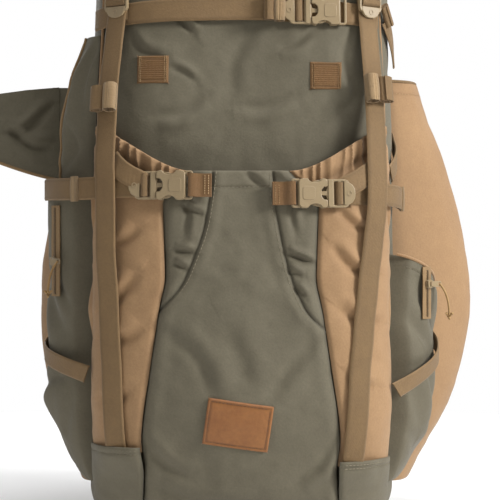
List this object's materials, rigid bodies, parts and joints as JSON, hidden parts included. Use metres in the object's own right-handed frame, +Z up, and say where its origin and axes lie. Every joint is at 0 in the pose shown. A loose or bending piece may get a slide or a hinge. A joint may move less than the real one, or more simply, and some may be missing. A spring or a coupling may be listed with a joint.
{
  "type": "hunting backpack",
  "caption": "Tall soft-sided hunting backpack with a bulging front pocket, side pockets, compression straps with side-release buckles, hinged lid, padded shoulder straps and hip belt.",
  "frame": {"origin": "centre of the flat base, on the ground plane", "axes": "+Z up, the front of the bag faces -Y, the wearer's back is on the +Y side, +X is the viewer's right when looking at the front"},
  "size_m": [0.598, 0.5713, 0.7365],
  "materials": {
    "green_fabric": "coated ranger green pack cloth",
    "coyote_fabric": "coyote tan pack cloth",
    "webbing": "ribbed coyote brown webbing",
    "buckle_plastic": "moulded tan plastic",
    "leather": "brown leather",
    "zipper_tape": "woven zip tape and coil",
    "padding": "padded mesh",
    "frame_composite": "black composite sheet",
    "stay_aluminium": "satin"
  },
  "bodies": {
    "bag": {"bag_base": "green_fabric", "bag_front_panel": "green_fabric", "bag_right_side_panel": "green_fabric", "bag_left_side_panel": "green_fabric", "bag_back_panel": "green_fabric", "bag_collar": "green_fabric", "front_pocket_center": "green_fabric", "front_pocket_left_panel": "coyote_fabric", "front_pocket_right_panel": "coyote_fabric", "left_side_pocket": "green_fabric", "right_side_pocket": "green_fabric", "left_pocket_front_wall": "green_fabric", "left_pocket_gusset": "green_fabric", "left_wing_panel": "coyote_fabric", "right_wing_panel": "coyote_fabric", "left_long_strap": "webbing", "right_long_strap": "webbing", "left_front_strap": "webbing", "right_front_strap": "webbing", "left_lower_strap": "webbing", "right_lower_strap": "webbing", "right_rear_strap": "webbing", "right_top_strap": "webbing", "left_buckle_female": "buckle_plastic", "right_buckle_female": "buckle_plastic", "collar_buckle_female": "buckle_plastic", "left_anchor_webbing": "webbing", "right_anchor_webbing": "webbing", "collar_strap": "webbing", "attachment_square_left": "webbing", "attachment_square_right": "webbing", "leather_patch": "leather", "left_zipper": "zipper_tape", "right_zipper": "zipper_tape", "frame_sheet": "frame_composite", "frame_stay_left": "stay_aluminium", "frame_stay_right": "stay_aluminium", "back_pad": "padding", "lumbar_pad": "padding"},
    "lid": {"lid_base": "green_fabric", "lid_pocket": "green_fabric", "lid_left_buckle_female": "buckle_plastic", "lid_right_buckle_female": "buckle_plastic"},
    "lid_left_male": {"lid_left_buckle_male": "buckle_plastic"},
    "lid_right_male": {"lid_right_buckle_male": "buckle_plastic"},
    "collar_male": {"collar_buckle_male": "buckle_plastic"},
    "left_male": {"left_buckle_male": "buckle_plastic"},
    "right_male": {"right_buckle_male": "buckle_plastic"},
    "left_slider": {"left_zipper_slider": "buckle_plastic"},
    "right_slider": {"right_zipper_slider": "buckle_plastic"},
    "left_shoulder": {"left_shoulder_strap": "padding", "sternum_buckle_female": "buckle_plastic"},
    "right_shoulder": {"right_shoulder_strap": "padding", "sternum_buckle_male": "buckle_plastic"},
    "left_belt": {"left_hip_belt": "padding", "belt_buckle_female": "buckle_plastic"},
    "right_belt": {"right_hip_belt": "padding", "belt_buckle_male": "buckle_plastic"},
    "haul": {"haul_handle": "webbing"},
    "left_flap": {"left_pocket_flap": "green_fabric"}
  },
  "joints": [
    {"name": "lid_hinge", "type": "hinge", "parent": "bag", "child": "lid", "pos_m": [0, 0.112, 0.672], "axis": [-1, 0, 0], "range_deg": [0, 80]},
    {"name": "lid_left_buckle_release", "type": "slide", "parent": "bag", "child": "lid_left_male", "axis": [-0.0183, -0.0485, -0.9987], "range_m": [0, 0.018]},
    {"name": "lid_right_buckle_release", "type": "slide", "parent": "bag", "child": "lid_right_male", "axis": [0.0188, -0.0476, -0.9987], "range_m": [0, 0.018]},
    {"name": "collar_buckle_release", "type": "slide", "parent": "bag", "child": "collar_male", "axis": [-0.9906, -0.1372, 0], "range_m": [0, 0.018]},
    {"name": "left_buckle_release", "type": "slide", "parent": "bag", "child": "left_male", "axis": [-0.9798, 0.1999, 0], "range_m": [0, 0.018]},
    {"name": "right_buckle_release", "type": "slide", "parent": "bag", "child": "right_male", "axis": [0.9774, 0.2113, 0], "range_m": [0, 0.018]},
    {"name": "left_zip_slide", "type": "slide", "parent": "bag", "child": "left_slider", "axis": [0, 0.0004, 1], "range_m": [-0.018, 0.058]},
    {"name": "right_zip_slide", "type": "slide", "parent": "bag", "child": "right_slider", "axis": [0, -0.0045, 1], "range_m": [-0.016, 0.014]},
    {"name": "left_shoulder_swing", "type": "hinge", "parent": "bag", "child": "left_shoulder", "pos_m": [-0.05, 0.121, 0.596], "axis": [1, 0, 0], "range_deg": [0, 20]},
    {"name": "right_shoulder_swing", "type": "hinge", "parent": "bag", "child": "right_shoulder", "pos_m": [0.05, 0.121, 0.596], "axis": [1, 0, 0], "range_deg": [0, 20]},
    {"name": "left_belt_swing", "type": "hinge", "parent": "bag", "child": "left_belt", "pos_m": [-0.099, 0.124, 0.112], "axis": [0, 0, 1], "range_deg": [-6, 22]},
    {"name": "right_belt_swing", "type": "hinge", "parent": "bag", "child": "right_belt", "pos_m": [0.099, 0.124, 0.112], "axis": [0, 0, -1], "range_deg": [-6, 22]},
    {"name": "haul_handle_swing", "type": "hinge", "parent": "bag", "child": "haul", "pos_m": [0, 0.118, 0.65], "axis": [1, 0, 0], "range_deg": [0, 100]},
    {"name": "left_flap_close", "type": "hinge", "parent": "bag", "child": "left_flap", "pos_m": [-0.221, 0.014, 0.466], "axis": [0, 0, 1], "range_deg": [0, 90]}
  ]
}
